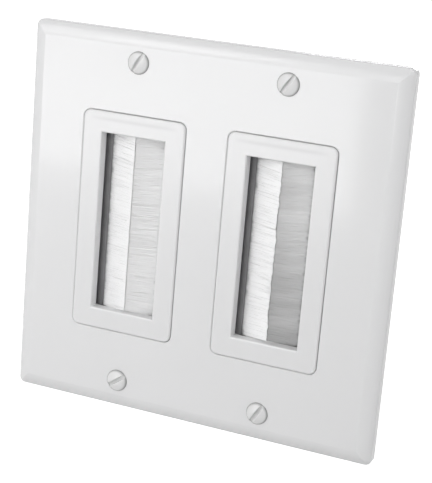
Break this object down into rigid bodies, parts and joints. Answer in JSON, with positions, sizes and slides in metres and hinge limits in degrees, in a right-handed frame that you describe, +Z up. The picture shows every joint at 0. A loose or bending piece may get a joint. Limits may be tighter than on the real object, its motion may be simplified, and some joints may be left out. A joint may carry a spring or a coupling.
{
  "type": "brush wall plate",
  "caption": "Double-width wall plate with upright brush inserts that let low-voltage cables through and hide the hole behind",
  "frame": {"origin": "centre of the four box screws, in the plane of the wall that the plate's rim rests on", "axes": "+Z up, +X to the right as seen from the room, +Y into the wall, so the face looks towards -Y"},
  "size_m": [0.1164, 0.0139, 0.1142],
  "materials": {
    "plate": "glossy white moulding with a faint texture",
    "insert": "satin white moulding",
    "retainer": "matt white moulding",
    "channel": "dull folded strip steel",
    "wire": "drawn steel wire",
    "bristles": "clear-white nylon filaments with a soft sheen",
    "plate_screw": "steel, white paint on the head",
    "retainer_screw": "zinc-plated steel"
  },
  "bodies": {
    "root": {"wall_plate": "plate", "insert_frame_left": "insert", "insert_frame_right": "insert", "brush_retainer_left": "retainer", "brush_retainer_right": "retainer", "left_brush_channel_outer": "channel", "left_brush_channel_inner": "channel", "right_brush_channel_outer": "channel", "right_brush_channel_inner": "channel", "left_core_wire_outer": "wire", "left_core_wire_inner": "wire", "right_core_wire_outer": "wire", "right_core_wire_inner": "wire", "left_bristles_outer": "bristles", "left_bristles_inner": "bristles", "right_bristles_outer": "bristles", "right_bristles_inner": "bristles", "plate_screw_left_top": "plate_screw", "plate_screw_left_bottom": "plate_screw", "plate_screw_right_top": "plate_screw", "plate_screw_right_bottom": "plate_screw", "retainer_screw_left_top": "retainer_screw", "retainer_screw_left_bottom": "retainer_screw", "retainer_screw_right_top": "retainer_screw", "retainer_screw_right_bottom": "retainer_screw"}
  },
  "joints": []
}
